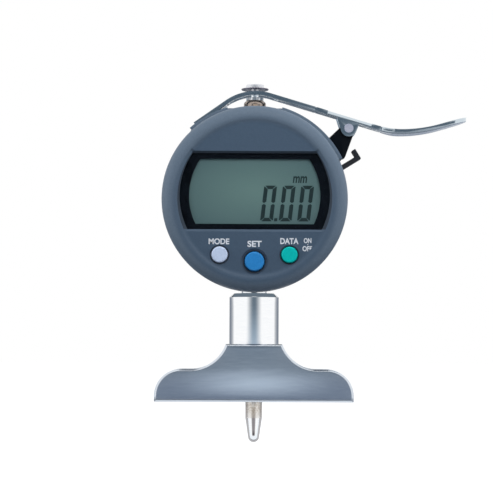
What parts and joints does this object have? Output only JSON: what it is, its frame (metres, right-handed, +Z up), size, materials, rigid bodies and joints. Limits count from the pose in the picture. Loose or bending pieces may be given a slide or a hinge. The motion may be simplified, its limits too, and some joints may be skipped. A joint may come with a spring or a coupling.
{
  "type": "digital depth gauge",
  "caption": "Hand-held digital depth gauge: round display indicator with a lifting lever, clamped by its stem in a sleeve on a flat shouldered base with a needle point through it.",
  "frame": {"origin": "on the spindle axis, at the base's flat reference face", "axes": "+Z up along the spindle, +X to the right towards the lever's thumb pad, +Y to the back cover, so the display looks to -Y"},
  "size_m": [0.1, 0.0282, 0.1151],
  "materials": {
    "base_steel": "satin ground steel with pale chamfered edges",
    "polished_steel": "polished",
    "black_screw": "blackened",
    "bush_bronze": "turned",
    "case_black": "satin black coat",
    "plated_steel": "bright plated",
    "cell_steel": "bright can",
    "contact_brass": "plated strip",
    "cap_plastic": "fine grain",
    "board_green": "solder mask",
    "seal_rubber": "moulded",
    "housing_blue_grey": "satin blue-grey coat",
    "mask_black": "printed black",
    "window_clear": "clear flat window",
    "lcd_grey_green": "reflective panel",
    "strip_rubber": "layered conductive rubber",
    "button_pale": "moulded",
    "button_blue": "moulded",
    "button_teal": "moulded",
    "rod_steel": "ground",
    "scale_glass": "ruled glass",
    "spring_steel": "drawn wire",
    "nut_brass": "polished",
    "washer_steel": "plain",
    "bracket_black": "black coat",
    "lever_steel": "slate coat, bright where it is folded",
    "port_black": "moulded",
    "cover_black": "moulded"
  },
  "bodies": {
    "case": {"base": "base_steel", "sleeve": "polished_steel", "clamp_screw": "black_screw", "stem": "polished_steel", "lower_bush": "bush_bronze", "rear_case": "case_black", "back_cover": "case_black", "cover_screws": "plated_steel", "battery": "cell_steel", "battery_contact": "contact_brass", "sensor_board": "board_green", "guide_rail": "plated_steel", "swivel_seal": "seal_rubber", "retaining_ring": "plated_steel", "top_bush": "bush_bronze", "bracket_nut": "nut_brass", "lever_bracket": "housing_blue_grey", "bracket_arm": "bracket_black", "port_connector": "port_black", "return_spring": "spring_steel"},
    "display": {"display_housing": "housing_blue_grey", "display_back_plate": "cap_plastic", "housing_screws": "plated_steel", "window_mask": "mask_black", "display_window": "window_clear", "lcd_panel": "lcd_grey_green", "contact_strips": "strip_rubber", "circuit_board": "board_green", "key_switches": "plated_steel"},
    "mode_key": {"mode_button": "button_pale"},
    "set_key": {"set_button": "button_blue"},
    "data_key": {"data_button": "button_teal"},
    "spindle_set": {"spindle": "polished_steel", "measuring_rod": "rod_steel", "contact_point": "polished_steel", "scale_carrier": "cap_plastic", "glass_scale": "scale_glass", "guide_pin": "plated_steel", "spindle_collar": "polished_steel", "lift_washer": "washer_steel", "head_screw": "polished_steel"},
    "lever": {"lifting_lever": "lever_steel", "pivot_pin": "plated_steel"},
    "battery_door": {"battery_cap": "cap_plastic"},
    "port_door": {"port_cover": "cover_black"}
  },
  "joints": [
    {"name": "lever_pivot", "type": "hinge", "parent": "case", "child": "lever", "pos_m": [0.0302, 0, 0.0878], "axis": [0, 1, 0], "range_deg": [0, 24.98]},
    {"name": "spindle_slide", "type": "slide", "parent": "case", "child": "spindle_set", "axis": [0, 0, 1], "range_m": [0, 0.0131], "stiffness_N_per_m": 40, "springref_m": -0.02, "deforming": ["return_spring"]},
    {"name": "display_swivel", "type": "hinge", "parent": "case", "child": "display", "pos_m": [0, 0, 0.0644], "axis": [0, 1, 0], "range_deg": [-165, 165]},
    {"name": "mode_press", "type": "slide", "parent": "display", "child": "mode_key", "axis": [0, 1, 0], "range_m": [0, 0.0005], "stiffness_N_per_m": 1600, "springref_m": -0.0005},
    {"name": "set_press", "type": "slide", "parent": "display", "child": "set_key", "axis": [0, 1, 0], "range_m": [0, 0.0005], "stiffness_N_per_m": 1600, "springref_m": -0.0005},
    {"name": "data_press", "type": "slide", "parent": "display", "child": "data_key", "axis": [0, 1, 0], "range_m": [0, 0.0005], "stiffness_N_per_m": 1600, "springref_m": -0.0005},
    {"name": "battery_cap_turn", "type": "hinge", "parent": "case", "child": "battery_door", "pos_m": [0, 0.0105, 0.0554], "axis": [0, 1, 0], "range_deg": [0, 60]},
    {"name": "port_cover_pull", "type": "slide", "parent": "case", "child": "port_door", "axis": [0.9848, 0, 0.1736], "range_m": [0, 0.006]}
  ],
  "couplings": [
    {"joint": "lever_pivot", "follows": "spindle_slide", "rad_per_m": 33.26}
  ]
}
